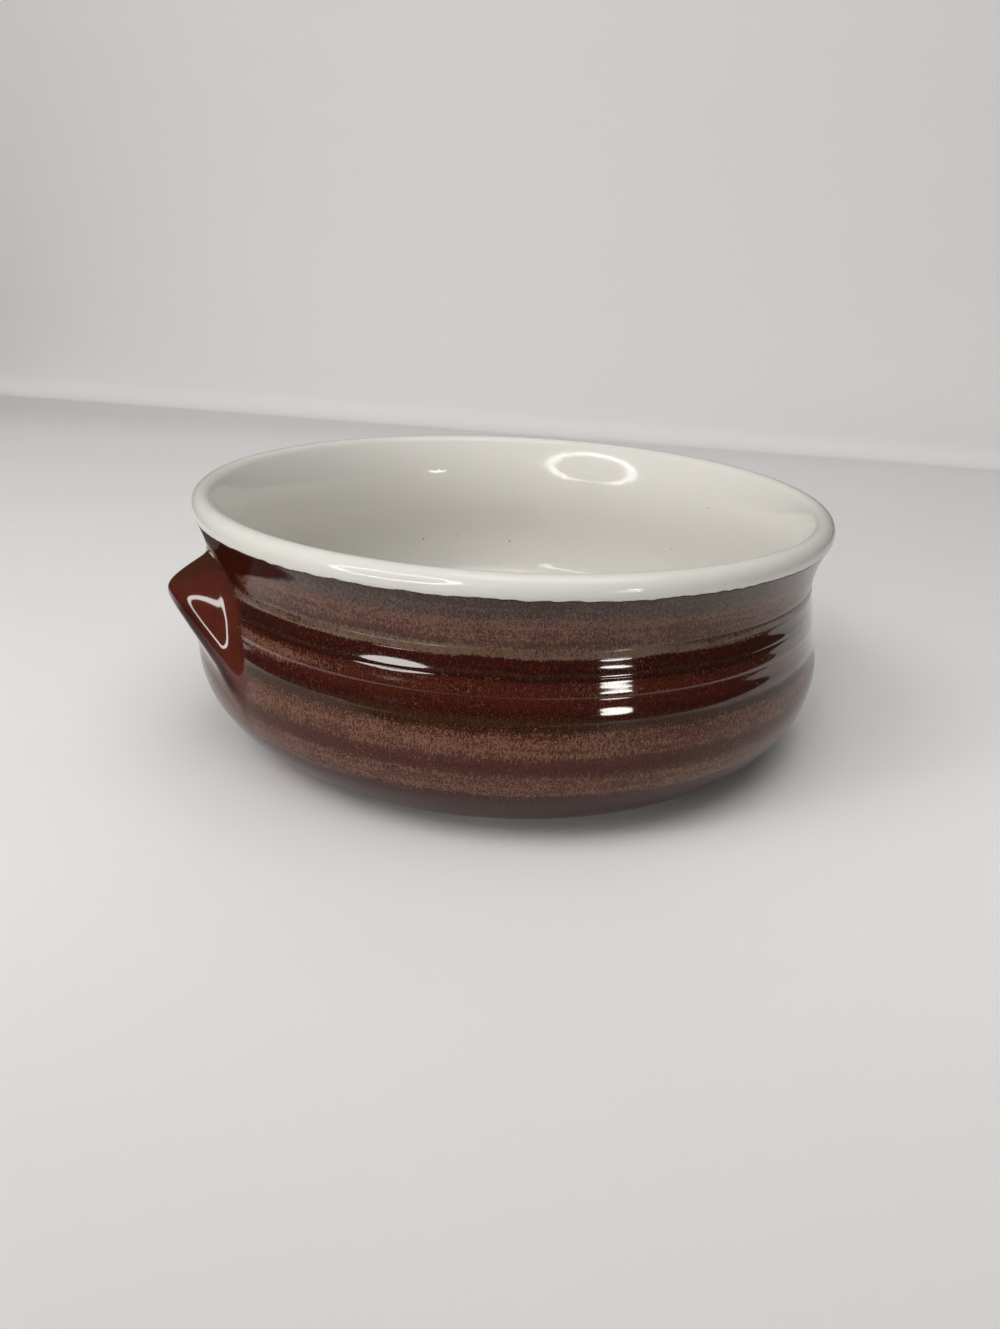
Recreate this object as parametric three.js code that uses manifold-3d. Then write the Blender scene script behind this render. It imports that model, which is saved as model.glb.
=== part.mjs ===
import * as THREE from 'three';
import { ConvexGeometry } from 'three/addons/geometries/ConvexGeometry.js';
import { mergeVertices } from 'three/addons/utils/BufferGeometryUtils.js';
import Module from 'manifold-3d';

// Soup crock: a low stoneware bowl with a rolled rim and two beak-shaped lugs.
// Millimetres, +Z up. The origin is the centre of the foot and the lugs lie along X.

// Finished outside, measured on the glaze.
const RIM_RADIUS = 75;
const HEIGHT = 56.1;
const RIM_THICKNESS = 5.4;
const RIM_CROWN = 3;
const NECK_INSET = 3.1;
const BELLY_SWELL = 0.35;
const FOOT_RADIUS = 0.79 * RIM_RADIUS;
const RIM_LEVEL = HEIGHT - RIM_CROWN;
const NECK_LEVEL = 0.742 * HEIGHT;
const BELLY_LEVEL = 0.365 * HEIGHT;
const NECK_RADIUS = RIM_RADIUS - NECK_INSET;
const BELLY_RADIUS = RIM_RADIUS + BELLY_SWELL;
const TURN_IN = 0.69;

// Throwing ribs on the shoulder.
const RIB_COUNT = 3;
const RIB_RELIEF = 0.22;
const RIB_TOP = 0.708 * HEIGHT;
const RIB_BOTTOM = 0.497 * HEIGHT;

// Wall, floor and foot.
const WALL = 4.6;
const FLOOR = 7.2;
const FOOT_WIDTH = 7;
const RECESS = 1.5;
const RECESS_SLOPE = 1.2;

// Glaze coats.
const GLAZE = 0.5;
const WHITE_EDGE = 1.3;
const BARE_FOOT = 1;

// Lugs: a beak with an arched root. The reach is past the rim, and widths are across the lug.
const LUG_REACH = 6.5;
const LUG_TIP_ROUND = 2.7;
const LUG_ROOT_ROUND = 1.3;
const LUG_TIP_WIDTH = 9.4;
const LUG_TOP_WIDTH = 5;
const LUG_ARCH_WIDTH = 27;
const LUG_ROOT_WIDTH = 37;
const LUG_BOTTOM_WIDTH = 34;
const LUG_TOP_DROP = 7.5;
const LUG_TIP_LEVEL = 0.67 * HEIGHT;
const LUG_ARCH_LEVEL = 0.695 * HEIGHT;
const LUG_ROOT_LEVEL = 0.52 * HEIGHT;
const LUG_BOTTOM_LEVEL = 0.344 * HEIGHT;

// Slip layer under each lug, and clearances round the lugs.
const SLIP = 0.6;
const SEAT_GAP = 0.05;
const GLAZE_GAP = 0.3;

const SEGMENTS = 48;

const wasm = await Module();
wasm.setup();

const mix = (a, b, t) => a + (b - a) * t;
const ease = (t) => 0.5 - 0.5 * Math.cos(Math.PI * t);
const steps = (count) => Array.from({ length: count + 1 }, (_, i) => i / count);
const point = (r, z) => new THREE.Vector2(r, z);

// Radius of the turned-in foot below the belly.
function turnRadius(z) {
  const rise = 1 - (1 - z / BELLY_LEVEL) ** 2;
  return mix(FOOT_RADIUS, BELLY_RADIUS, rise ** TURN_IN);
}

// Radius of the shoulder, from the belly to the neck, with its ribs.
function shoulderRadius(z) {
  const plain = mix(BELLY_RADIUS, NECK_RADIUS, ease((z - BELLY_LEVEL) / (NECK_LEVEL - BELLY_LEVEL)));
  const along = (z - RIB_BOTTOM) / (RIB_TOP - RIB_BOTTOM);
  if (along < 0 || along > 1) return plain;
  return plain - RIB_RELIEF * Math.cos(2 * Math.PI * RIB_COUNT * along);
}

function neckRadius(z) {
  return mix(NECK_RADIUS, RIM_RADIUS, ease((z - NECK_LEVEL) / (RIM_LEVEL - NECK_LEVEL)));
}

// The outside from the bare foot up to the edge of the white glaze.
function outsideLine() {
  const edge = RIM_LEVEL - WHITE_EDGE;
  const turn = steps(6).map((t) => mix(BARE_FOOT, BELLY_LEVEL, t ** 1.6));
  const belly = mix(BELLY_LEVEL, RIB_BOTTOM, 0.5);
  const ribs = steps(2 * RIB_COUNT).map((t) => mix(RIB_BOTTOM, RIB_TOP, t));
  const neck = steps(4).map((t) => mix(NECK_LEVEL, edge, t));
  return [
    ...turn.map((z) => point(turnRadius(z), z)),
    ...[belly, ...ribs].map((z) => point(shoulderRadius(z), z)),
    ...neck.map((z) => point(neckRadius(z), z)),
  ];
}

// The rolled rim and the inside, from the edge of the white glaze to the middle of the floor.
function insideLine() {
  const rimMiddle = RIM_RADIUS - RIM_THICKNESS / 2;
  const rim = steps(6).map((t) => point(
    rimMiddle + (RIM_THICKNESS / 2) * Math.cos(Math.PI * t),
    RIM_LEVEL + RIM_CROWN * Math.sin(Math.PI * t),
  ));
  const innerRim = RIM_RADIUS - RIM_THICKNESS;
  const innerNeck = NECK_RADIUS - WALL;
  const innerBelly = BELLY_RADIUS - WALL;
  const neck = steps(3).slice(1).map((t) => point(
    mix(innerRim, innerNeck, ease(t)),
    mix(RIM_LEVEL, NECK_LEVEL, t),
  ));
  const belly = steps(4).slice(1).map((t) => point(
    mix(innerNeck, innerBelly, ease(t)),
    mix(NECK_LEVEL, BELLY_LEVEL, t),
  ));
  const floor = [0.97, 0.92, 0.84, 0.7, 0.45, 0].map((reach) => point(
    innerBelly * reach,
    mix(FLOOR, BELLY_LEVEL, 1 - Math.cbrt(1 - reach ** 4)),
  ));
  return [...rim, ...neck, ...belly, ...floor];
}

// Moves a line to its left, across its own direction. A point on the axis stays on it.
function offsetLine(line, distance) {
  return line.map((here, i) => {
    const before = line[Math.max(i - 1, 0)];
    const after = line[Math.min(i + 1, line.length - 1)];
    const along = after.clone().sub(before).normalize();
    const moved = point(here.x - along.y * distance, here.y + along.x * distance);
    return here.x === 0 ? point(0, here.y - distance) : moved;
  });
}

function turned(line) {
  return new THREE.LatheGeometry(line, SEGMENTS).rotateX(Math.PI / 2);
}

function toSolid(geometry) {
  const bare = geometry.clone();
  bare.deleteAttribute('normal');
  bare.deleteAttribute('uv');
  const shell = mergeVertices(bare, 1e-4);
  const corners = [];
  for (let i = 0; i < shell.index.count; i += 3) {
    const triangle = [0, 1, 2].map((k) => shell.index.getX(i + k));
    if (new Set(triangle).size === 3) corners.push(...triangle);
  }
  return new wasm.Manifold(new wasm.Mesh({
    numProp: 3,
    vertProperties: new Float32Array(shell.attributes.position.array),
    triVerts: new Uint32Array(corners),
  }));
}

function toGeometry(solid) {
  const mesh = solid.getMesh();
  const geometry = new THREE.BufferGeometry();
  geometry.setAttribute('position', new THREE.BufferAttribute(mesh.vertProperties, 3));
  geometry.setIndex(new THREE.BufferAttribute(mesh.triVerts, 1));
  geometry.computeVertexNormals();
  return geometry;
}

const outside = outsideLine();
const inside = insideLine();
const edgeCount = outside.length;
const skin = [...outside, ...inside];
const clay = offsetLine(skin, GLAZE);
const clayOutside = clay.slice(0, edgeCount);
const clayInside = clay.slice(edgeCount - 1);

// A turned core that fills everything inside the outer wall, thicker than the clay by some distance.
function wallCore(distance) {
  const line = offsetLine(skin, GLAZE - distance).slice(0, edgeCount);
  return toSolid(turned([point(0, line[0].y), ...line, point(0, line[edgeCount - 1].y)]));
}

function bodyGeometry() {
  const recessRadius = FOOT_RADIUS - FOOT_WIDTH;
  const ceiling = RECESS + GLAZE;
  return turned([
    point(0, ceiling),
    point(recessRadius - RECESS_SLOPE, ceiling),
    point(recessRadius - RECESS_SLOPE, RECESS),
    point(recessRadius, 0),
    point(FOOT_RADIUS, 0),
    ...clay,
  ]);
}

function linerGeometry() {
  const glaze = skin.slice(edgeCount - 1);
  return turned([...clayInside.toReversed(), ...glaze]);
}

function baseGlazeGeometry() {
  const radius = FOOT_RADIUS - FOOT_WIDTH - RECESS_SLOPE;
  const ceiling = RECESS + GLAZE;
  return turned([point(0, RECESS), point(radius, RECESS), point(radius, ceiling), point(0, ceiling)]);
}

function wallRadius(z) {
  if (z < BELLY_LEVEL) return turnRadius(z);
  return z < NECK_LEVEL ? shoulderRadius(z) : neckRadius(z);
}

// Centres and radii of the balls on one side of a lug: one at the tip, and four round the arched root,
// just inside the wall. Each is [distance from the axis plane, half width, level, radius].
function lugBalls() {
  const tipRadius = RIM_RADIUS + LUG_REACH - LUG_TIP_ROUND;
  const tip = [tipRadius, LUG_TIP_WIDTH / 2, LUG_TIP_LEVEL, LUG_TIP_ROUND];
  const root = [
    [LUG_TOP_WIDTH, RIM_LEVEL - LUG_TOP_DROP],
    [LUG_ARCH_WIDTH, LUG_ARCH_LEVEL],
    [LUG_ROOT_WIDTH, LUG_ROOT_LEVEL],
    [LUG_BOTTOM_WIDTH, LUG_BOTTOM_LEVEL],
  ].map(([width, level]) => {
    const radius = wallRadius(level) - LUG_ROOT_ROUND;
    return [Math.sqrt(radius ** 2 - (width / 2) ** 2), width / 2, level, LUG_ROOT_ROUND];
  });
  return [tip, ...root];
}

function ballPoints(centre, radius) {
  const places = new THREE.SphereGeometry(radius, 12, 8).attributes.position;
  const indices = Array.from({ length: places.count }, (_, i) => i);
  return indices.map((i) => new THREE.Vector3().fromBufferAttribute(places, i).add(centre));
}

// One lug as the hull of its balls. side is 1 on +X and -1 on -X, and grow swells the lug evenly.
function lugSolid(side, grow) {
  const points = lugBalls().flatMap(([reach, across, level, radius]) => [-1, 1].flatMap((half) => (
    ballPoints(new THREE.Vector3(side * reach, half * across, level), radius + grow)
  )));
  return toSolid(new ConvexGeometry(points));
}

// The coat on the outer wall, open where the lugs are fixed to the clay.
function outerGlazeGeometry() {
  const loop = [...outside, ...clayOutside.toReversed(), outside[0]];
  const coat = toSolid(turned(loop));
  return toGeometry(coat.subtract(lugSolid(1, GLAZE_GAP)).subtract(lugSolid(-1, GLAZE_GAP)));
}

function lugGeometry(side) {
  return toGeometry(lugSolid(side, 0).subtract(wallCore(SLIP + SEAT_GAP)));
}

function slipJointGeometry(side) {
  const layer = wallCore(SLIP).subtract(wallCore(0));
  return toGeometry(layer.intersect(lugSolid(side, 0)));
}

const stoneware = new THREE.MeshStandardMaterial({ color: 0xc9b79c, roughness: 0.85, metalness: 0 });
const whiteGlaze = new THREE.MeshStandardMaterial({ color: 0xe4e1d8, roughness: 0.15, metalness: 0 });
const brownGlaze = new THREE.MeshStandardMaterial({ color: 0x4e241b, roughness: 0.12, metalness: 0 });

function piece(name, geometry, material) {
  const mesh = new THREE.Mesh(geometry, material);
  mesh.name = name;
  return mesh;
}

const crock = new THREE.Group();
crock.add(piece('crock_body', bodyGeometry(), stoneware));
crock.add(piece('liner_glaze', linerGeometry(), whiteGlaze));
crock.add(piece('outer_glaze', outerGlazeGeometry(), brownGlaze));
crock.add(piece('base_glaze', baseGlazeGeometry(), brownGlaze));
crock.add(piece('left_lug', lugGeometry(-1), brownGlaze));
crock.add(piece('right_lug', lugGeometry(1), brownGlaze));
crock.add(piece('left_slip_joint', slipJointGeometry(-1), stoneware));
crock.add(piece('right_slip_joint', slipJointGeometry(1), stoneware));

export default crock;
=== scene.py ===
"""Looks of a low stoneware soup crock: white liner, oxblood outer glaze and two beak-shaped lugs.

Lengths in the formulas are millimetres and become metres when a mesh is made. The frame is the
CAD's: +Z up, the origin in the middle of the foot, the lugs along X.
"""

import math

import bmesh
import bpy
import numpy as np
from mathutils import Matrix, Vector


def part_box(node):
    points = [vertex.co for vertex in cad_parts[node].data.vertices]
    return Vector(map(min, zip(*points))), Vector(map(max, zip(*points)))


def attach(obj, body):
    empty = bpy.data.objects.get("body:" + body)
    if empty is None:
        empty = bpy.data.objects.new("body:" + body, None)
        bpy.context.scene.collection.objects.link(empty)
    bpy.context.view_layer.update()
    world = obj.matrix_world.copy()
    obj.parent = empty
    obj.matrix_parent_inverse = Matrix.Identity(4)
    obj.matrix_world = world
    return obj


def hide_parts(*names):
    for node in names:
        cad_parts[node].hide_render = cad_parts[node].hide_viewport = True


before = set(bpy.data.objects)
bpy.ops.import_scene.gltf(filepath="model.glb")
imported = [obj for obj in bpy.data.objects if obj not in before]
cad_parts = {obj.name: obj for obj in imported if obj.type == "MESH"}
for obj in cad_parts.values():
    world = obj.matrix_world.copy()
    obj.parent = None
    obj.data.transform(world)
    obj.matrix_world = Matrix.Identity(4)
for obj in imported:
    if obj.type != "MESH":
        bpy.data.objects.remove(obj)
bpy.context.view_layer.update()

MM = 0.001

# Finished outside, measured on the glaze.
RIM_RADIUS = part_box("liner_glaze")[1].x / MM
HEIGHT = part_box("liner_glaze")[1].z / MM
RIM_THICKNESS = 5.4
RIM_CROWN = 3
RIM_TURN_LEFT = math.radians(31)
RIM_UNDERCUT = 0.35
WHITE_EDGE = 1.3
FOOT_RADIUS = 0.79 * RIM_RADIUS
NECK_RADIUS = RIM_RADIUS - 3.1
BELLY_RADIUS = RIM_RADIUS + 0.35
RIM_LEVEL = HEIGHT - RIM_CROWN
NECK_LEVEL = 0.742 * HEIGHT
BELLY_LEVEL = 0.365 * HEIGHT
TURN_IN = 0.69
# The shoulder's cone: the level of each end and how softly it bends there.
SHOULDER = [(BELLY_LEVEL + 1.5, 0.5), (NECK_LEVEL - 0.9, 0.25)]
# The soft beads on the cone: each one's level, how far the wall steps in there, and how gently.
BEADS = [(0.535 * HEIGHT, 0.25, 1.1), (0.606 * HEIGHT, 0.18, 0.9), (0.660 * HEIGHT, 0.345, 1.3)]

# Turned ribs on the shoulder: each groove's level and depth, and its reach below and above.
RIB_GROOVES = [
    (0.490 * HEIGHT, 0.015, 1.5, 0.35),
    (0.578 * HEIGHT, 0.045, 0.5, 0.35),
    (0.642 * HEIGHT, 0.045, 0.5, 0.35),
    (0.709 * HEIGHT, 0.045, 0.4, 0.30),
    (0.737 * HEIGHT, 0.14, 0.3, 0.50),
]
RIB_WANDER = 0.16

# Wall, floor, foot and coats.
WALL = 4.6
FLOOR = 7.2
FOOT_WIDTH = 7
FOOT_ROUND = 0.5
RECESS = 1.5
RECESS_SLOPE = 1.2
GLAZE = 0.5
CLAY_GAP = 0.03
BARE_FOOT = 1
FOOT_RAGGED = 0.12
EDGE_RAGGED = 0.1
EDGE_SEED = 5

# Faint throwing rings inside: how high they stand, their spacing across and down, and the depth below the
# neck over which they come up.
RING_RISE = 0.05
RING_ACROSS = 8
RING_DOWN = 7
RING_FADE = 12

# Ripples of the coat under the floor: each one's rise and length.
POOL_RINGS = (0.08, 5)
POOL_WAVES = (0.05, 11)
POOL_FACE = 0.12

# Lugs: balls at the tip and round the arched root, whose common tangent planes make the beak.
LUG_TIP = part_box("right_lug")[1].x / MM + 1.2
LUG_TIP_ROUND = 2.7
LUG_ROOT_ROUND = 1.3
LUG_TIP_WIDTH = 8.6
LUG_TIP_LEVEL = 0.69 * HEIGHT
LUG_ROOTS = [
    (5, RIM_LEVEL - 7.5),
    (24, 0.695 * HEIGHT),
    (39, 0.52 * HEIGHT),
    (44, 0.344 * HEIGHT),
]
LUG_SOFTNESS = 1.6
FLANK_SOFTNESS = 2.5
FLANK_SWELL = 1.35
LUG_FILLET = 2
LUG_CLEAR = 2.4
FAR_FROM_LUG = 40
LUG_SPAN = math.radians(20.5)
LUG_LEVELS = (12.5, 50.8)
LUG_GRID = (156, 186)
LUG_SINK = 0.02
LUG_DIP = 0.16
LUG_DIP_WIDTH = 0.06

# The camera, seen from the middle of the foot: its turn from the lugs, its lean and its roll.
VIEW_TURN = math.radians(-27)
CAMERA_PLACE = (-1.34, -239.8, 106.7)
CAMERA_PITCH = math.radians(22.07)
CAMERA_ROLL = math.radians(2.67)
SENSOR = 36
PICTURE_HEIGHT = 1329
FOCAL_PIXELS = 1000

COLUMNS = 560


def mix(a, b, share):
    return a + (b - a) * share


def ease(share):
    """Half a cosine wave from 0 to 1, level at both ends."""
    return 0.5 - 0.5 * np.cos(np.pi * np.clip(share, 0, 1))


def whole_turn(columns=COLUMNS):
    return np.linspace(0, 2 * np.pi, columns, endpoint=False)[None, :]


def ragged(angle, counts, fall, seed):
    """Uneven line round the pot: sines of many counts with drawn phases, each weaker by its count
    to the power fall, scaled to a mean square of 1."""
    phases = np.random.default_rng(seed).uniform(0, 2 * np.pi, counts.size)
    strength = counts.astype(float) ** -fall
    waves = np.sin(angle[..., None] * counts + phases) * strength
    return waves.sum(-1) / np.sqrt((strength**2).sum() / 2)


def rib_relief(level):
    """Relief of the ribs: each groove deepens as a power of e from below and closes as a narrow bell
    curve above."""
    relief = np.zeros_like(level)
    for place, depth, below, above in RIB_GROOVES:
        off = level - place
        relief -= depth * np.where(off < 0, np.exp(off / below), np.exp(-((off / above) ** 2)))
    return relief


def plain_radius(level):
    """Radius of the outer skin without ribs: a power curve turns in below the belly, a cone with rounded
    ends and soft steps joins belly and neck, and two parabolas join neck and rim."""
    rise = 1 - (1 - np.clip(level / BELLY_LEVEL, 0, 1)) ** 2
    turn = mix(FOOT_RADIUS, BELLY_RADIUS, rise**TURN_IN)
    start, end = ((level - place) / soft for place, soft in SHOULDER)
    bend = [soft * np.logaddexp(0, past) for past, (_, soft) in zip((start, end), SHOULDER)]
    along = (bend[0] - bend[1]) / (SHOULDER[1][0] - SHOULDER[0][0])
    shoulder = mix(BELLY_RADIUS, NECK_RADIUS + sum(step for _, step, _ in BEADS), along)
    for place, step, soft in BEADS:
        shoulder -= step * (0.5 + 0.5 * np.tanh((level - place) / soft))
    flare = (level - NECK_LEVEL) / (RIM_LEVEL - WHITE_EDGE - NECK_LEVEL)
    under = ((RIM_LEVEL - level) / WHITE_EDGE).clip(0, 1)
    neck = np.where(flare < 1, mix(NECK_RADIUS, RIM_RADIUS - RIM_UNDERCUT, flare**2),
                    RIM_RADIUS - RIM_UNDERCUT * under**2)
    return np.where(level < BELLY_LEVEL, turn, np.where(level < NECK_LEVEL, shoulder, neck))


def wall_radius(level, angle):
    """Radius of the outer skin: ribs ride on the plain wall at a level that wanders a little round the
    pot, and die out at the lugs."""
    plain = plain_radius(level)
    wander = RIB_WANDER * (np.sin(angle + 0.8) + 0.5 * np.sin(3 * angle + 2.1))
    return plain + rib_relief(level + wander) * (1 - lug_share(plain, angle, level))


def edge_level(angle):
    """Level of the ragged line where the white glaze meets the brown."""
    return RIM_LEVEL - WHITE_EDGE + EDGE_RAGGED * ragged(angle, np.arange(4, 170), 0.45, EDGE_SEED)


def inside_rows(angle):
    """Rows of the white skin above the outer edge: most of half an ellipse over the rim, a parabola down
    the inner neck, half a cosine wave to the belly, and a steep superellipse across the floor, with faint
    throwing rings."""
    turn = (np.pi - RIM_TURN_LEFT) * np.linspace(0, 1, 29)[1:]
    rim_middle = RIM_RADIUS - RIM_THICKNESS / 2
    radius = [rim_middle + RIM_THICKNESS / 2 * np.cos(turn)]
    level = [RIM_LEVEL + RIM_CROWN * np.sin(turn)]
    slope = RIM_THICKNESS / 2 / RIM_CROWN * math.tan(RIM_TURN_LEFT)
    inner_neck = radius[0][-1] - slope * (level[0][-1] - NECK_LEVEL) / 2
    inner_belly = BELLY_RADIUS - WALL
    down = np.linspace(0, 1, 20)[1:]
    radius.append(mix(inner_neck, radius[0][-1], (1 - down) ** 2))
    level.append(mix(level[0][-1], NECK_LEVEL, down))
    radius.append(mix(inner_neck, inner_belly, ease(down)))
    level.append(mix(NECK_LEVEL, BELLY_LEVEL, down))
    reach = np.sin(np.linspace(np.pi / 2, 0, 34)[1:])
    radius.append(inner_belly * reach)
    level.append(mix(FLOOR, BELLY_LEVEL, 1 - np.cbrt(1 - reach**4)))
    radius = np.concatenate(radius)[:, None]
    level = np.concatenate(level)[:, None]
    rings = RING_RISE * np.sin(2 * np.pi * (radius / RING_ACROSS + level / RING_DOWN))
    rings *= ease((NECK_LEVEL - level) / RING_FADE)
    return radius + 0 * angle, level + rings + 0 * angle


def inward(radius, level, distance):
    """Rows moved to the left of the way they run, which is into the clay; the axis stays the axis."""
    across = np.gradient(radius, axis=0)
    along = np.gradient(level, axis=0)
    length = np.hypot(across, along)
    moved = radius - along / length * distance
    return np.where(radius < 1e-6, 0, moved), level + across / length * distance


def grid_faces(rows, columns, wrap_rows, wrap_columns):
    """Quads of a grid of points, joined to its first row or column again where it wraps."""
    index = np.arange(rows * columns).reshape(rows, columns)
    above = np.roll(index, -1, 0)
    beside = np.roll(index, -1, 1)
    corner = np.roll(above, -1, 1)
    quads = np.stack([index, beside, corner, above], -1)
    quads = quads[: rows if wrap_rows else -1, : columns if wrap_columns else -1]
    return quads.reshape(-1, 4)


def make_piece(name, points, faces, material, nodes, attributes=None):
    """A closed smooth mesh in metres that rides on the crock and stands for its CAD nodes."""
    mesh = bpy.data.meshes.new(name)
    mesh.from_pydata((points * MM).tolist(), [], faces.tolist())
    for title, values in (attributes or {}).items():
        layer = mesh.attributes.new(title, "FLOAT", "POINT")
        layer.data.foreach_set("value", values.ravel().astype(np.float32))
    shell = bmesh.new()
    shell.from_mesh(mesh)
    bmesh.ops.remove_doubles(shell, verts=shell.verts, dist=1e-8)
    bmesh.ops.recalc_face_normals(shell, faces=shell.faces)
    shell.to_mesh(mesh)
    shell.free()
    mesh.shade_smooth()
    mesh.materials.append(material)
    piece = bpy.data.objects.new(name, mesh)
    bpy.context.scene.collection.objects.link(piece)
    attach(piece, "root")
    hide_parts(*nodes)


def turned_points(radius, level, angle):
    """Rows of radius and level carried round the axis."""
    spread = np.broadcast_arrays(radius * np.cos(angle), radius * np.sin(angle), level)
    return np.stack(spread, -1).reshape(-1, 3)


def turned_piece(name, radius, level, angle, material, nodes, attributes=None):
    """A closed skin of rows carried round the axis, the last joined to the first. Two rows that lie on
    the axis have no faces between them."""
    rows, columns = radius.shape
    faces = grid_faces(rows, columns, True, True)
    flat = radius.ravel()
    faces = faces[flat[faces].max(1) > 1e-6]
    points = turned_points(radius, level, angle)
    make_piece(name, points, faces, material, nodes, attributes)


def tangent_plane(balls, middle):
    """Unit normal and offset of the plane that touches three balls on the side away from middle: along
    it centre plus radius is the same for all three."""
    centres, radii = balls[:, :3], balls[:, 3]
    spans = centres[1:] - centres[0]
    lean = np.linalg.pinv(spans) @ (radii[0] - radii[1:])
    square = np.cross(spans[0], spans[1])
    square *= np.sign(square @ (centres[0] - middle)) / np.linalg.norm(square)
    normal = lean + math.sqrt(1 - lean @ lean) * square
    return np.append(normal, normal @ centres[0] + radii[0])


def lug_planes():
    """Planes of half a lug on +X: the top, three flank facets round the arched root, and the underside."""
    rows = [(LUG_TIP - LUG_TIP_ROUND, LUG_TIP_WIDTH / 2, LUG_TIP_LEVEL, LUG_TIP_ROUND)]
    for width, level in LUG_ROOTS:
        seat = plain_radius(np.array(level)) - LUG_ROOT_ROUND
        rows.append((math.sqrt(seat**2 - (width / 2) ** 2), width / 2, level, LUG_ROOT_ROUND))
    balls = np.array(rows)
    mirrored = balls[:1] * [1, -1, 1, 1]
    balls = np.vstack([balls, mirrored])
    middle = balls[:, :3].mean(0) * [1, 0, 1]
    tip, top, arch, root, bottom, other_tip = range(6)
    touching = [
        (tip, other_tip, top),
        (tip, top, arch),
        (tip, arch, root),
        (tip, root, bottom),
        (tip, other_tip, bottom),
    ]
    planes = [tangent_plane(balls[list(three)], middle) for three in touching]
    widest = max(width for width, _ in LUG_ROOTS) / 2 + LUG_ROOT_ROUND
    return np.array([*planes, (0, 1, 0, widest)])


LUG_PLANES = lug_planes()


def soft_greatest(values, softness):
    """Greatest of the last axis, rounded where two are nearly equal: the log of a sum of powers of e."""
    most = values.max(-1)
    return most + softness * np.log(np.exp((values - most[..., None]) / softness).sum(-1))


def lug_distance(radius, angle, level):
    """How far a point lies outside the lug on +X: the soft greatest of its distances to the planes, the
    flank's facets first melted into one swelling face."""
    across = np.hypot(radius * np.sin(angle), LUG_SOFTNESS / 2)
    place = np.stack(np.broadcast_arrays(radius * np.cos(angle), across, level), -1)
    apart = place @ LUG_PLANES[:, :3].T - LUG_PLANES[:, 3]
    flank = soft_greatest(apart[..., 1:4], FLANK_SOFTNESS) - FLANK_SWELL
    faces = [apart[..., 0], flank, apart[..., 4], apart[..., 5]]
    return soft_greatest(np.stack(faces, -1), LUG_SOFTNESS)


def lug_gap(radius, angle, level):
    """How far a point lies from the nearer lug: 0 on the lug, and never more than FAR_FROM_LUG."""
    near = np.arctan2(np.sin(angle), np.abs(np.cos(angle)))
    return np.clip(lug_distance(radius, near, level), 0, FAR_FROM_LUG)


def lug_share(radius, angle, level):
    """1 on a lug and in its root, fading to 0 on the wall beside it, for both lugs."""
    return 1 - ease(lug_gap(radius, angle, level) / LUG_CLEAR)


def lug_radius(angle, level):
    """Radius of the skin over the lug on +X: where the union of wall and lug, rounded by a parabola of
    the fillet's width, changes sign, found by halving the span between wall and tip."""
    wall = wall_radius(level, angle)
    low = wall - 1
    high = np.full_like(wall, LUG_TIP + 1)
    for _ in range(36):
        middle = (low + high) / 2
        off_wall = middle - wall
        off_lug = lug_distance(middle, angle, level)
        overlap = np.maximum(1 - np.abs(off_wall - off_lug) / LUG_FILLET, 0)
        outside = np.minimum(off_wall, off_lug) > overlap**2 * LUG_FILLET / 4
        high = np.where(outside, middle, high)
        low = np.where(outside, low, middle)
    return (low + high) / 2


class Value:
    """One output of a finish's node tree. Sums and products of values add Math nodes."""

    def __init__(self, finish, socket):
        self.finish = finish
        self.socket = socket

    def math(self, operation, first, second):
        return self.finish.add("ShaderNodeMath", {"operation": operation}, {0: first, 1: second})

    def __add__(self, other):
        return self.math("ADD", self, other)

    def __sub__(self, other):
        return self.math("SUBTRACT", self, other)

    def __rsub__(self, other):
        return self.math("SUBTRACT", other, self)

    def __mul__(self, other):
        return self.math("MULTIPLY", self, other)

    def __truediv__(self, other):
        return self.math("DIVIDE", self, other)

    def __rtruediv__(self, other):
        return self.math("DIVIDE", other, self)

    __radd__ = __add__
    __rmul__ = __mul__


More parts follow.
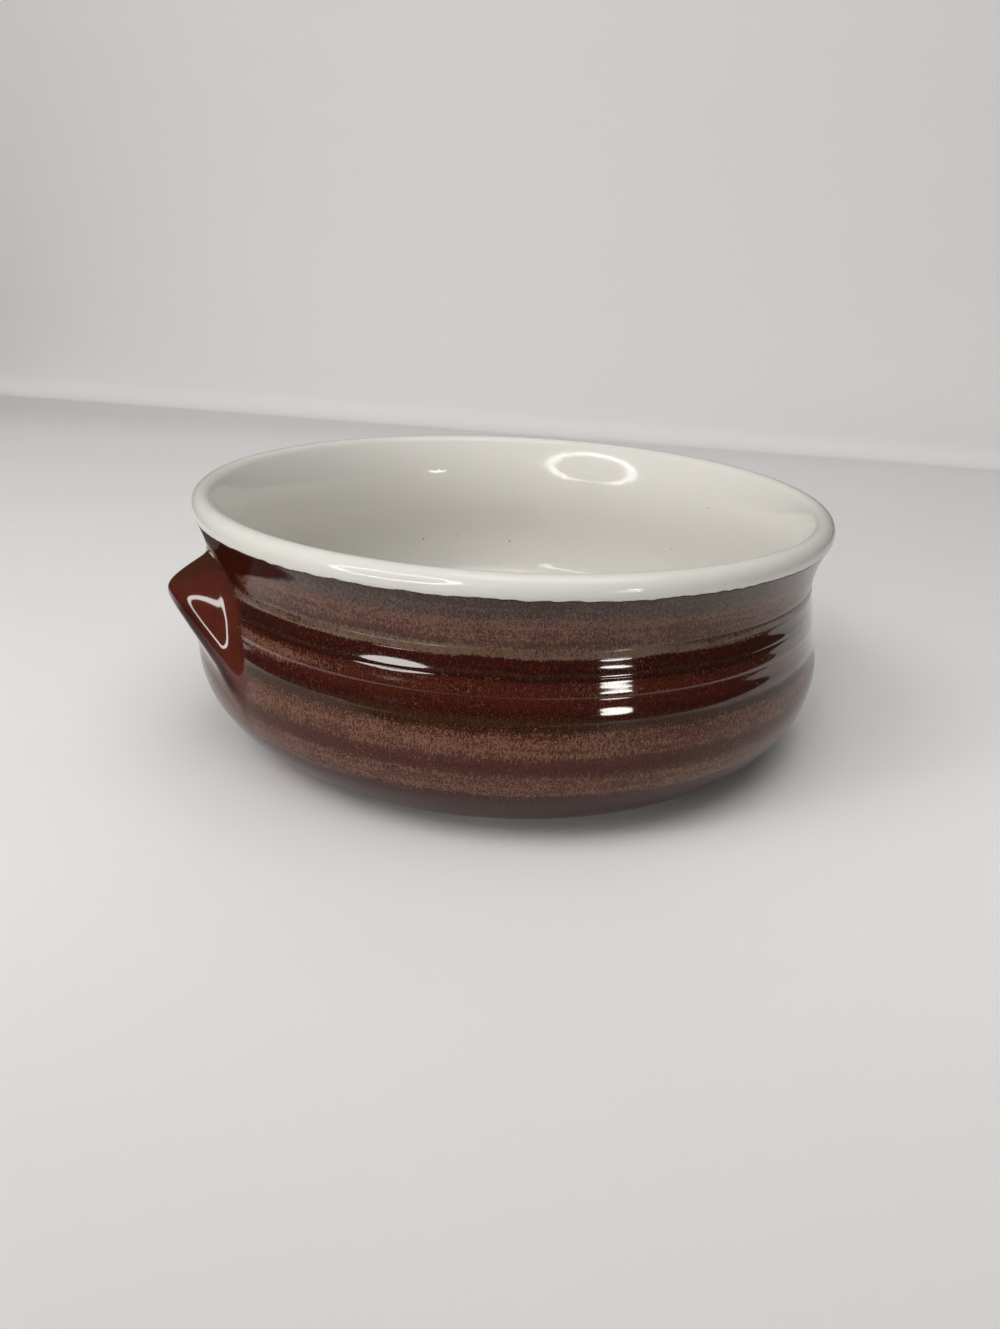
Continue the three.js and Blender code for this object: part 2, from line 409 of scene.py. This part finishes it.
class Finish:
    """A material's node tree, filled through add."""

    def __init__(self, name):
        self.material = bpy.data.materials.new(name)
        self.material.use_nodes = True
        self.tree = self.material.node_tree
        self.tree.nodes.clear()

    def add(self, kind, settings=None, sockets=None, out=0):
        """Adds a node: its settings first, with a ramp's stops as (place, colour), then its sockets."""
        node = self.tree.nodes.new(kind)
        for name, value in (settings or {}).items():
            if name == "stops":
                for _ in value[2:]:
                    node.color_ramp.elements.new(1)
                for element, (place, colour) in zip(node.color_ramp.elements, value):
                    element.position = place
                    element.color = (*colour, 1)
            else:
                setattr(node, name, value)
        for key, value in (sockets or {}).items():
            if isinstance(value, Value):
                self.tree.links.new(value.socket, node.inputs[key])
            else:
                node.inputs[key].default_value = value
        return Value(self, node.outputs[out]) if node.outputs else None

    def place(self, stretch=(1, 1, 1)):
        """Object coordinates in millimetres, stretched along each axis."""
        spot = self.add("ShaderNodeTexCoord", out="Object")
        scale = tuple(share / MM for share in stretch)
        return self.add("ShaderNodeMapping", sockets={"Vector": spot, "Scale": scale})

    def noise(self, size, stretch=(1, 1, 1), detail=2.0, roughness=0.5):
        """Cloudy noise from 0 to 1 whose lumps are about size millimetres."""
        lumps = {"Scale": 1 / size, "Detail": detail, "Roughness": roughness}
        return self.add("ShaderNodeTexNoise", sockets={"Vector": self.place(stretch), **lumps})

    def ramp(self, share, stops):
        """Colours or shares of the stops, eased from each stop to the next."""
        ramp = self.add("ShaderNodeValToRGB", {"stops": stops}, {0: share})
        ramp.socket.node.color_ramp.interpolation = "EASE"
        return ramp

    def step(self, value, low, high):
        """0 below low, 1 above high, smooth between."""
        settings = {"interpolation_type": "SMOOTHSTEP"}
        return self.add("ShaderNodeMapRange", settings, {"Value": value, 1: low, 2: high})

    def blend(self, share, first, second):
        """Colour first, with second laid over it by share."""
        first, second = ((*c, 1) if isinstance(c, tuple) else c for c in (first, second))
        sockets = {0: share, 6: first, 7: second}
        return self.add("ShaderNodeMix", {"data_type": "RGBA"}, sockets, out=2)

    def attribute(self, name):
        return self.add("ShaderNodeAttribute", {"attribute_name": name}, out="Fac")

    def bump(self, height, depth):
        """Normals tipped by a height from 0 to 1 that stands for depth millimetres."""
        sockets = {"Height": height, "Distance": depth * MM, "Strength": 1.0}
        return self.add("ShaderNodeBump", sockets=sockets)

    def shader(self, **sockets):
        """A Principled shader, its sockets named with underscores for spaces."""
        named = {name.replace("_", " "): value for name, value in sockets.items()}
        return self.add("ShaderNodeBsdfPrincipled", sockets=named)

    def surface(self, shader):
        """Ends the tree in a shader and returns the material."""
        self.add("ShaderNodeOutputMaterial", sockets={"Surface": shader})
        return self.material


OXBLOOD = (0.062, 0.010, 0.0055)
DEEP_RED = (0.036, 0.005, 0.0035)
ORANGE_RED = (0.070, 0.0135, 0.006)
LUG_RED = (0.095, 0.021, 0.012)
PLUM = (0.038, 0.009, 0.009)
OLIVE = (0.038, 0.018, 0.008)
UMBER = (0.046, 0.024, 0.016)
BLACK_RED = (0.018, 0.004, 0.003)
EMBER = (0.105, 0.030, 0.012)
BROWN = (0.042, 0.014, 0.007)
TAN = (0.198, 0.094, 0.061)
OCHRE = (0.155, 0.070, 0.034)
STONE = (0.160, 0.104, 0.072)
SLATE = (0.108, 0.085, 0.076)
RUSSET = (0.070, 0.018, 0.010)
WHITE = (0.745, 0.73, 0.69)
CREAM = (0.72, 0.715, 0.665)
STAIN = (0.16, 0.10, 0.065)
BUFF = (0.58, 0.47, 0.33)
TOAST = (0.50, 0.38, 0.25)
IRON = (0.20, 0.13, 0.08)
PAPER = (0.85, 0.845, 0.84)
PALE_PAPER = (0.88, 0.875, 0.87)
# Painted shadow on the floor in front of the crock.
SHADOWED_NEAR_PAPER = (0.59, 0.585, 0.57)
FAR_PAPER = (0.78, 0.775, 0.765)

# Turned bands of the outer glaze from foot to rim, each stop at its level in millimetres: the ground's
# colour, the share of tan crystals, more of them on one rib beside the lugs, the crystals' colour, and the
# weight of the clear gloss.
GROUND_BANDS = [
    (3, PLUM), (10, PLUM), (12.2, DEEP_RED), (14.5, RUSSET), (17.3, RUSSET), (19, OXBLOOD),
    (21, RUSSET), (25, RUSSET), (26.6, OLIVE), (28.2, OLIVE), (29.6, DEEP_RED), (32, OXBLOOD),
    (34.2, ORANGE_RED), (35.5, OXBLOOD), (35.9, BLACK_RED), (36.3, BLACK_RED), (36.7, BROWN),
    (37.1, BROWN), (37.5, BLACK_RED), (38.1, DEEP_RED), (39.2, DEEP_RED), (40.4, OLIVE), (41.4, OLIVE),
    (43, RUSSET), (46, OXBLOOD), (50, UMBER),
]
SPECKLE_BANDS = [
    (10.5, 0), (13, 0.5), (16.5, 0.46), (18.4, 0.12), (20, 0.16), (22, 0.5), (24.6, 0.52), (25.8, 0.4),
    (27, 0.12), (29, 0.02), (32, 0.05), (33.5, 0.16), (35.5, 0.1), (37, 0), (39.4, 0.05), (40.2, 0.72),
    (41.5, 0.6), (42.4, 0.3), (44, 0.45), (47, 0.58), (49, 0.45), (51, 0.34),
]
PALE_RIB = [(31, 0), (32.3, 0.42), (34.6, 0.42), (35.8, 0)]
CRYSTAL_BANDS = [
    (39.6, TAN), (40.3, STONE), (41.5, STONE), (42.4, TAN), (46, TAN), (48.5, SLATE), (51, SLATE),
]
GLOSS_BANDS = [
    (10, 0.1), (13, 0.08), (24, 0.1), (27.6, 0.12), (28.8, 1), (39.3, 1), (40.3, 0.3), (50, 0.3),
]


def levels(bands):
    """Ramp stops of bands whose places are millimetres above the table; a share becomes a grey."""
    tones = [tone if isinstance(tone, tuple) else (tone,) * 3 for _, tone in bands]
    return [(level / HEIGHT, tone) for (level, _), tone in zip(bands, tones)]


def ground_tone(finish, height, lines, mottle, grain, streak):
    """Banded ground of the outer glaze: dark turned lines, olive mottling, soot and embers in the grain."""
    toned = finish.ramp(height, levels(GROUND_BANDS))
    toned = finish.blend(finish.step(lines, 0.45, 0.75) * 0.55, toned, BLACK_RED)
    toned = finish.blend(finish.step(mottle, 0.5, 0.68) * 0.18, toned, OLIVE)
    soot = finish.step(finish.noise(0.34, detail=1), 0.44, 0.6)
    toned = finish.blend(soot * 0.5, toned, BLACK_RED)
    embers = finish.step(grain * 0.6 + streak * 0.4, 0.48, 0.62)
    return finish.blend(embers * 0.4, toned, EMBER)


def lug_tone(finish, level, cloud, keel_shade):
    """Plain red of the lugs, with a painted dark reflection clouding the upper part and painted shade,
    nearly black, along the lower ridges.
    """
    plain = finish.blend(finish.step(cloud, 0.3, 0.7) * 0.6, LUG_RED, OXBLOOD)
    # Painted reflection: olive clouding on the lug's upper part, where it mirrors the dark rim and neck.
    painted_top_reflection = finish.step(finish.noise(6, detail=2), 0.3, 0.55) * finish.step(level, 38, 45)
    plain = finish.blend(painted_top_reflection * 0.7, plain, OLIVE)
    return finish.blend(keel_shade * 0.85, plain, BLACK_RED)


def lug_keel_shade(finish, level, across):
    """Painted shade on the lugs: 1 along their lower ridges, which slope down and outwards from the tip,
    and 0 elsewhere.
    """
    off_keel = across.math("ABSOLUTE", across, 0) + level * 0.91
    keel_shade = finish.step(level, 18, 23) * (1 - finish.step(level, 35, 39))
    return keel_shade * finish.step(off_keel, 33, 38) * (1 - finish.step(off_keel, 39, 44))


def brown_glaze():
    """Glossy oxblood glaze in turned bands, breaking to tan speckle on the neck and belly. It runs plain
    over the lugs. Painted shade and dark reflection: the corners between lug and rim and the lugs' lower
    ridges are darkened and mirror nothing."""
    finish = Finish("oxblood_glaze")
    spot = finish.add("ShaderNodeTexCoord", out="Object")
    level = finish.add("ShaderNodeSeparateXYZ", sockets={0: spot}, out="Z") / MM
    across = finish.add("ShaderNodeSeparateXYZ", sockets={0: spot}, out="Y") / MM
    wander = (finish.noise(26, (1, 1, 0.5)) - 0.5) * 1.8 + (finish.noise(5) - 0.5) * 0.6
    height = (level + wander) / HEIGHT
    streak = finish.noise(0.42, (1, 1, 0.45), detail=2, roughness=0.6)
    grain = finish.noise(0.3, detail=1)
    cloud = finish.noise(7, (1, 1, 0.6), detail=3)
    lines = finish.noise(0.9, (0.04, 0.04, 1), detail=2)
    mottle = finish.noise(1.3, (1, 1, 0.7))
    gap = finish.attribute("lug_gap")
    on_lug = 1 - finish.step(gap, 0, LUG_CLEAR)
    seam = gap + (finish.noise(2.5, detail=3) - 0.5) * 2
    run_over = 1 - finish.step(seam, 0.5, 3)
    neck = finish.step(level, 41.5, 43)
    # Painted shade and dark reflection of lug and rim on the neck beside each lug, widest under the rim.
    corner = neck * (1 - finish.step(seam - finish.step(level, 44, 50.5) * 15, 4, 6.5))
    keel_shade = lug_keel_shade(finish, level, across)
    pale_rib = finish.ramp(height, levels(PALE_RIB)) * (1 - finish.step(seam, 9, 24))
    speckled = finish.ramp(height, levels(SPECKLE_BANDS)) + pale_rib
    crystals = streak * 0.45 + grain * 0.55 + (cloud - 0.5) * 0.14 + (lines - 0.5) * 0.25
    tan = finish.step(crystals + speckled * (1 - run_over) * (1 - corner) * 0.43, 0.62, 0.80)
    toned = ground_tone(finish, height, lines, mottle, grain, streak)
    # Painted shade: the corners beside the lugs darkened to deep red.
    toned = finish.blend(corner * 0.85, toned, DEEP_RED)
    toned = finish.blend(run_over, toned, lug_tone(finish, level, cloud, keel_shade))
    crystal_tone = finish.ramp(height, levels(CRYSTAL_BANDS))
    crystal_tone = finish.blend(finish.step(mottle, 0.42, 0.62) * 0.6, crystal_tone, OCHRE)
    colour = finish.blend(tan * 0.85, toned, crystal_tone)
    relief = (grain * 0.5 + streak * 0.5) * (0.15 + tan * 0.85) * (1 - on_lug * 0.9)
    wall_gloss = finish.ramp(height, levels(GLOSS_BANDS))
    lug_gloss = finish.step(level, 21, 28)
    glossy = finish.shader(
        Base_Color=colour,
        Roughness=0.07 + tan * 0.16,
        IOR=1.3,
        Coat_Weight=wall_gloss * (1 - on_lug) + lug_gloss * on_lug,
        Coat_IOR=1.5,
        Coat_Roughness=0.05,
        Normal=finish.bump(relief, 0.03),
    )
    # Painted shade: corners and lower lug ridges blend toward this shader, which mirrors nothing.
    dull = finish.shader(Base_Color=colour, Roughness=1.0, Specular_IOR_Level=0.0)
    painted_shade_share = corner * (1 - on_lug) * 0.9 + keel_shade * on_lug * 0.8
    return finish.surface(finish.add("ShaderNodeMixShader", sockets={0: painted_shade_share, 1: glossy, 2: dull}))


def white_glaze():
    """Glossy off-white glaze with faint mottling and iron flecks, stained where it meets brown."""
    finish = Finish("white_glaze")
    mottle = finish.noise(9, detail=3)
    colour = finish.blend(finish.step(mottle, 0.35, 0.7) * 0.5, WHITE, CREAM)
    cells = {"Vector": finish.place(), "Scale": 1 / 5.5, "Randomness": 1.0}
    spot = finish.add("ShaderNodeTexVoronoi", {"feature": "F1"}, cells)
    pick = finish.add("ShaderNodeTexVoronoi", {"feature": "F1"}, cells, out="Color")
    drawn = finish.add("ShaderNodeSeparateColor", sockets={0: pick})
    fleck = (1 - finish.step(spot, 0.03, 0.07)) * finish.step(drawn, 0.74, 0.76)
    colour = finish.blend(fleck * 0.75, colour, UMBER)
    edge = finish.attribute("edge_gap")
    stain = 1 - finish.step(edge + (finish.noise(1.1) - 0.5) * 0.5, 0.0, 0.26)
    colour = finish.blend(stain * 0.7, colour, STAIN)
    ripple = finish.noise(14, detail=1) * 0.8 + finish.noise(1.2) * 0.2
    return finish.surface(finish.shader(
        Base_Color=colour,
        Roughness=0.08 + finish.step(mottle, 0.4, 0.8) * 0.05,
        IOR=1.5,
        Normal=finish.bump(ripple, 0.12),
    ))


def bare_clay():
    """Dry buff stoneware with sand grain and a few iron specks."""
    finish = Finish("bare_stoneware")
    cloud = finish.noise(12, detail=4)
    sand = finish.noise(0.5, detail=3, roughness=0.7)
    colour = finish.blend(finish.step(cloud, 0.3, 0.75), BUFF, TOAST)
    colour = finish.blend(finish.step(sand, 0.62, 0.75) * 0.6, colour, IRON)
    return finish.surface(finish.shader(
        Base_Color=colour,
        Roughness=0.75 + sand * 0.2,
        Normal=finish.bump(sand, 0.08),
    ))


def pale_floor():
    """Pale satin studio paper with the faintest unevenness, a painted shadow darkening it in front, and
    greyer far behind.
    """
    finish = Finish("pale_floor")
    cloud = finish.noise(60, detail=3)
    colour = finish.blend(cloud, PAPER, PALE_PAPER)
    spot = finish.add("ShaderNodeTexCoord", out="Object")
    settings = {"operation": "DOT_PRODUCT"}
    ahead = (math.sin(VIEW_TURN) / MM, -math.cos(VIEW_TURN) / MM, 0)
    near = finish.add("ShaderNodeVectorMath", settings, {0: spot, 1: ahead}, out="Value")
    # Painted shadow: the floor darkens in front of the crock, towards the camera.
    colour = finish.blend(finish.step(near, 60, 240), colour, SHADOWED_NEAR_PAPER)
    colour = finish.blend(finish.step(near, -340, -440), colour, FAR_PAPER)
    return finish.surface(finish.shader(Base_Color=colour, Roughness=0.55))


def lamp_glow(name, strength, colour):
    """Even light from a lamp's own surface."""
    finish = Finish(name)
    glow = {"Color": (*colour, 1), "Strength": strength}
    return finish.surface(finish.add("ShaderNodeEmission", sockets=glow))


def add_liner(material):
    """White coat: from the ragged outer edge over the rim to the middle of the floor, and back along
    the clay. Its lower edge is rolled in."""
    angle = whole_turn()
    edge = edge_level(angle)
    above = np.array([0.01, 0.015, 0.07, 0.2])[:, None]
    tuck = np.array([GLAZE - CLAY_GAP, 0.1, 0.02, 0])[:, None]
    rolled = edge + above
    face = mix(rolled[-1:], RIM_LEVEL, np.linspace(0, 1, 7)[1:, None])
    outer_level = np.vstack([rolled, face])
    outer_radius = wall_radius(outer_level, angle)
    outer_radius[:4] -= tuck
    rim_radius, rim_level = inside_rows(angle)
    radius = np.vstack([outer_radius, rim_radius])
    level = np.vstack([outer_level, rim_level])
    back_radius, back_level = inward(radius[3:], level[3:], GLAZE - CLAY_GAP)
    radius = np.vstack([radius, back_radius[::-3]])
    level = np.vstack([level, back_level[::-3]])
    gap = np.full_like(level, 9.0)
    rows = len(outer_level)
    gap[:rows] = level[:rows] - edge
    turned_piece("white_liner", radius, level, angle, material, ["liner_glaze"],
                 {"edge_gap": gap})


def add_outer_coat(material):
    """Brown coat: from its rounded line above the foot up the wall to the ragged edge, and back along
    the clay."""
    angle = whole_turn()
    edge = edge_level(angle)
    foot = BARE_FOOT + FOOT_RAGGED * ragged(angle, np.arange(2, 60), 0.8, EDGE_SEED + 1)
    turn = mix(BARE_FOOT + 0.5, RIB_GROOVES[0][0] - 3, np.linspace(0, 1, 46) ** 1.25)
    about = np.array([-1.5, -1.1, -0.8, -0.5, -0.25, -0.1, 0, 0.1, 0.2, 0.3, 0.45, 0.65, 0.9])
    ribs = np.concatenate([place + about for place, *_ in RIB_GROOVES])
    between = np.arange(RIB_GROOVES[0][0] - 2.5, NECK_LEVEL, 0.45)
    neck = np.linspace(NECK_LEVEL + 1, RIM_LEVEL - WHITE_EDGE - 0.8, 20)
    level = np.unique(np.round(np.concatenate([turn, ribs, between, neck]), 2))
    level = level[np.append(True, np.diff(level) > 0.045)][:, None]
    lift = ease((level - NECK_LEVEL - 3) / (RIM_LEVEL - WHITE_EDGE - NECK_LEVEL - 3))
    drop = 1 - ease((level - BARE_FOOT) / 5)
    level = level + lift * (edge - RIM_LEVEL + WHITE_EDGE) + drop * (foot - BARE_FOOT)
    low_level = foot + np.array([0.0, 0.05, 0.2])[:, None]
    low_tuck = np.array([GLAZE - CLAY_GAP, 0.25, 0.06])[:, None]
    high_level = edge - np.array([0.3, 0.1, 0.015, 0.01])[:, None]
    high_tuck = np.array([0, 0.02, 0.08, GLAZE - CLAY_GAP])[:, None]
    body_rows = len(level)
    level = np.vstack([low_level, level, high_level])
    radius = wall_radius(level, angle)
    front_radius = radius.copy()
    front_radius[:3] -= low_tuck
    front_radius[-4:] -= high_tuck
    back_radius, back_level = inward(radius, level, GLAZE - CLAY_GAP)
    inner = slice(body_rows, 3, -12)
    radius = np.vstack([front_radius, back_radius[inner]])
    level = np.vstack([level, back_level[inner]])
    turned_piece("oxblood_outer_coat", radius, level, angle, material, ["outer_glaze"],
                 {"lug_gap": lug_gap(radius, angle, level)})


def add_lug(name, side, node, material):
    """One lug: a lens-shaped shell whose face is the wall blended with the beak, sunk a hair under the
    wall where nothing stands proud, and whose back lies in the coat behind it."""
    rows, columns = LUG_GRID
    angle = np.linspace(-LUG_SPAN, LUG_SPAN, columns)[None, :]
    level = np.linspace(*LUG_LEVELS, rows)[:, None]
    angle, level = np.broadcast_arrays(angle, level)
    turn = angle + (np.pi if side < 0 else 0)
    wall = wall_radius(level, turn)
    proud = lug_radius(angle, level) - wall_radius(level, angle)
    low, high = LUG_LEVELS
    to_side = 1 - np.abs(angle) / LUG_SPAN
    to_end = np.minimum(level - low, high - level) / (high - low)
    dip = LUG_DIP * (1 - ease(np.minimum(to_side, to_end) / LUG_DIP_WIDTH))
    face = wall + proud - LUG_SINK * (1 - ease(proud / (6 * LUG_SINK))) - dip
    border = np.zeros_like(face)
    border[1:-1, 1:-1] = 1
    back = face - (proud + GLAZE - 0.1) * border
    points = np.vstack([turned_points(face, level, turn), turned_points(back, level, turn)])
    sheet = grid_faces(*face.shape, False, False)
    faces = np.vstack([sheet, sheet[:, ::-1] + face.size])
    gap = lug_gap(face, angle, level)
    make_piece(name, points, faces, material, [node],
               {"lug_gap": np.concatenate([gap, gap])})


def add_clay(material):
    """Stoneware body: recess under the floor, rounded foot ring, then the clay face behind both coats."""
    angle = whole_turn(240)
    ring = FOOT_RADIUS - FOOT_WIDTH
    ceiling = RECESS + GLAZE + CLAY_GAP
    quarter = np.linspace(0, np.pi / 2, 6)
    under_radius = np.concatenate([
        [0, ring - RECESS_SLOPE, ring - RECESS_SLOPE],
        ring + FOOT_ROUND - FOOT_ROUND * np.cos(quarter),
        FOOT_RADIUS - FOOT_ROUND + FOOT_ROUND * np.sin(quarter),
    ])
    under_level = np.concatenate([
        [ceiling, ceiling, RECESS],
        FOOT_ROUND - FOOT_ROUND * np.sin(quarter),
        FOOT_ROUND - FOOT_ROUND * np.cos(quarter),
    ])
    foot_level = np.linspace(FOOT_ROUND + 0.2, BARE_FOOT + 0.6, 6)
    wall_level = np.concatenate([foot_level, np.linspace(3, RIM_LEVEL, 40)])[:, None] + 0 * angle
    rim_radius, rim_level = inside_rows(angle)
    skin_radius = np.vstack([wall_radius(wall_level, angle), rim_radius])
    skin_level = np.vstack([wall_level, rim_level])
    clay_radius, clay_level = inward(skin_radius, skin_level, GLAZE)
    radius = np.vstack([under_radius[:, None] + 0 * angle, clay_radius])
    level = np.vstack([under_level[:, None] + 0 * angle, clay_level])
    turned_piece("stoneware_body", radius, level, angle, material, ["crock_body"])


def add_base_coat(material):
    """Brown coat in the recess: a disc that thins to a rounded rim and rises and falls a little."""
    angle = whole_turn(180)
    reach = np.sin(np.linspace(0, np.pi / 2, 40))[:, None]
    radius = (FOOT_RADIUS - FOOT_WIDTH - RECESS_SLOPE - CLAY_GAP) * reach + 0 * angle
    (ring_rise, ring_length), (wave_rise, wave_length) = POOL_RINGS, POOL_WAVES
    pool = ring_rise * np.sin(radius / ring_length)
    pool += wave_rise * np.sin(radius / wave_length + 2 * angle) * reach
    face = RECESS + POOL_FACE + pool + (GLAZE - 0.2) * reach**30
    back = np.full_like(face, RECESS + GLAZE)
    radius = np.vstack([radius, radius[::-4]])
    level = np.vstack([face, back[::-4]])
    gap = np.zeros_like(level)
    turned_piece("oxblood_base_coat", radius, level, angle, material, ["base_glaze"],
                 {"lug_gap": gap})


def view_turned(place):
    """A place given as the camera sees it, right and away, turned into the CAD frame, in metres."""
    return Matrix.Rotation(VIEW_TURN, 3, "Z") @ Vector(place) * MM


def add_camera():
    """Camera at the viewing angle: it looks down by its pitch and rolls about its own axis."""
    data = bpy.data.cameras.new("camera")
    data.sensor_width = SENSOR
    data.lens = SENSOR * FOCAL_PIXELS / PICTURE_HEIGHT
    data.clip_start = 0.01
    camera = bpy.data.objects.new("camera", data)
    bpy.context.scene.collection.objects.link(camera)
    lean = Matrix.Rotation(math.pi / 2 - CAMERA_PITCH, 3, "X") @ Matrix.Rotation(CAMERA_ROLL, 3, "Z")
    turn = Matrix.Rotation(VIEW_TURN, 3, "Z") @ lean
    camera.matrix_world = Matrix.Translation(view_turned(CAMERA_PLACE)) @ turn.to_4x4()
    bpy.context.scene.camera = camera


# Studio, as the camera sees it: the backdrop's distance and turn, and each lamp's place, given as its
# angle to the camera's right, its elevation and its distance from the crock.
BACKDROP_DISTANCE = 436
BACKDROP_TURN = math.radians(-10.1)
BACKDROP_BEND = 14
BACKDROP_HEIGHT = 1500
FLOOR_FRONT = 195
FLOOR_SIDES = (160, 480)
FLOOR_DROP = 0.05
# Each softbox: its place as above, its width, height and power, its colour, and whether gloss mirrors it.
DAYLIGHT = (1, 0.985, 0.97)
CEILING_LIGHT = (1, 0.985, 0.96)
WARM_LIGHT = (1, 0.97, 0.91)
SOFTBOXES = {
    "overhead": (50, 78, 1100, 900, 900, 3.4, CEILING_LIGHT, True),
    "key": (-60, 50, 1100, 500, 500, 2.9, DAYLIGHT, False),
    "fill": (-20, 60, 1000, 500, 500, 1.5, DAYLIGHT, False),
    "side_lamp": (35, 3.8, 600, 110, 30, 0.15, WARM_LIGHT, True),
    "small_lamp": (38, 14, 600, 70, 24, 0.12, WARM_LIGHT, True),
}
# The ring lamp: its place, the radius of the ring and of its tube, and its strength.
RING_LAMP = (-38.5, 25, 900, 306, 32, 9.5)
RING_LIGHT = (1, 0.98, 0.96)
# The room as light, as the gloss mirrors it, and as the camera sees it.
ROOM_LIGHT = (0.075, 0.071, 0.076)
ROOM_MIRRORED = (0.03, 0.025, 0.025)
ROOM_SEEN = (0.62, 0.61, 0.60)


def add_sheet(name, away, up, material):
    """Studio sheet: a profile of distances away and heights, carried sideways in a straight line, and
    narrower towards the front."""
    reach = np.interp(away, [-FLOOR_FRONT, BACKDROP_DISTANCE], FLOOR_SIDES)
    sideways = np.linspace(-1, 1, 3)[:, None] * reach
    turn = BACKDROP_TURN + VIEW_TURN
    x = sideways * math.cos(turn) - away * math.sin(turn)
    y = sideways * math.sin(turn) + away * math.cos(turn)
    points = np.stack(np.broadcast_arrays(x, y, up - FLOOR_DROP), -1).reshape(-1, 3)
    mesh = bpy.data.meshes.new(name)
    mesh.from_pydata((points * MM).tolist(), [], grid_faces(*x.shape, False, False).tolist())
    mesh.shade_smooth()
    mesh.materials.append(material)
    sheet = bpy.data.objects.new(name, mesh)
    bpy.context.scene.collection.objects.link(sheet)
    return sheet


def add_floor(material):
    """Flat floor, and a backdrop that bends up from it through a quarter circle and climbs. The gloss
    of the crock mirrors the floor alone."""
    bend_start = BACKDROP_DISTANCE - BACKDROP_BEND
    add_sheet("floor", np.array([-FLOOR_FRONT, 0, bend_start]), np.zeros(3), material)
    quarter = np.linspace(0, np.pi / 2, 13)
    away = np.append(bend_start + BACKDROP_BEND * np.sin(quarter), BACKDROP_DISTANCE)
    up = np.append(BACKDROP_BEND - BACKDROP_BEND * np.cos(quarter), BACKDROP_HEIGHT)
    backdrop = add_sheet("backdrop", away, up, material)
    backdrop.visible_glossy = False


def lamp_frame(right, elevation, distance):
    """Where a lamp stands and how it is turned to face the crock."""
    side = math.radians(right)
    rise = math.radians(elevation)
    flat = math.cos(rise) * distance
    place = view_turned((math.sin(side) * flat, -math.cos(side) * flat, math.sin(rise) * distance))
    turn = place.to_track_quat("Z", "Y").to_matrix().to_4x4()
    return Matrix.Translation(place) @ turn


def add_softbox(name, right, elevation, distance, width, height, power, colour, mirrored):
    data = bpy.data.lights.new(name, "AREA")
    data.shape = "ELLIPSE"
    data.size = width * MM
    data.size_y = height * MM
    data.energy = power
    data.color = colour
    lamp = bpy.data.objects.new(name, data)
    bpy.context.scene.collection.objects.link(lamp)
    lamp.matrix_world = lamp_frame(right, elevation, distance)
    lamp.visible_glossy = mirrored


def add_ring_lamp(right, elevation, distance, ring, tube, strength):
    """Ring lamp: a torus, one circle carried round another, that glows and isn't seen itself."""
    about = whole_turn(96)
    round_tube = np.linspace(0, 2 * np.pi, 24, endpoint=False)[:, None]
    radius = ring + tube * np.cos(round_tube) + 0 * about
    level = tube * np.sin(round_tube) + 0 * about
    points = turned_points(radius, level, about) * MM
    frame_matrix = np.array(lamp_frame(right, elevation, distance))
    points = points @ frame_matrix[:3, :3].T + frame_matrix[:3, 3]
    mesh = bpy.data.meshes.new("ring_lamp")
    mesh.from_pydata(points.tolist(), [], grid_faces(*radius.shape, True, True).tolist())
    mesh.materials.append(lamp_glow("ring_glow", strength, RING_LIGHT))
    lamp = bpy.data.objects.new("ring_lamp", mesh)
    bpy.context.scene.collection.objects.link(lamp)
    lamp.visible_camera = False


def add_world(room, mirrored, seen):
    """Dim room for light, darker where gloss mirrors it, and a pale ground for the camera."""
    world = bpy.data.worlds.new("room")
    world.use_nodes = True
    nodes, links = world.node_tree.nodes, world.node_tree.links
    nodes.clear()
    path = nodes.new("ShaderNodeLightPath")
    chosen = nodes.new("ShaderNodeBackground")
    chosen.inputs["Color"].default_value = (*room, 1)
    for ray, colour in (("Is Glossy Ray", mirrored), ("Is Camera Ray", seen)):
        ground = nodes.new("ShaderNodeBackground")
        ground.inputs["Color"].default_value = (*colour, 1)
        either = nodes.new("ShaderNodeMixShader")
        links.new(path.outputs[ray], either.inputs[0])
        links.new(chosen.outputs[0], either.inputs[1])
        links.new(ground.outputs[0], either.inputs[2])
        chosen = either
    out = nodes.new("ShaderNodeOutputWorld")
    links.new(chosen.outputs[0], out.inputs[0])
    bpy.context.scene.world = world


def add_studio():
    add_floor(pale_floor())
    add_world(ROOM_LIGHT, ROOM_MIRRORED, ROOM_SEEN)
    for name, settings in SOFTBOXES.items():
        add_softbox(name, *settings)
    add_ring_lamp(*RING_LAMP)
    bpy.context.scene.view_settings.view_transform = "Standard"


def dress_crock():
    white, brown, clay = white_glaze(), brown_glaze(), bare_clay()
    add_liner(white)
    add_outer_coat(brown)
    add_lug("oxblood_left_lug", -1, "left_lug", brown)
    add_lug("oxblood_right_lug", 1, "right_lug", brown)
    add_clay(clay)
    add_base_coat(brown)
    for name in ("left_slip_joint", "right_slip_joint"):
        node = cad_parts[name]
        node.data.materials.clear()
        node.data.materials.append(clay)


add_camera()
dress_crock()
add_studio()
bpy.context.view_layer.update()
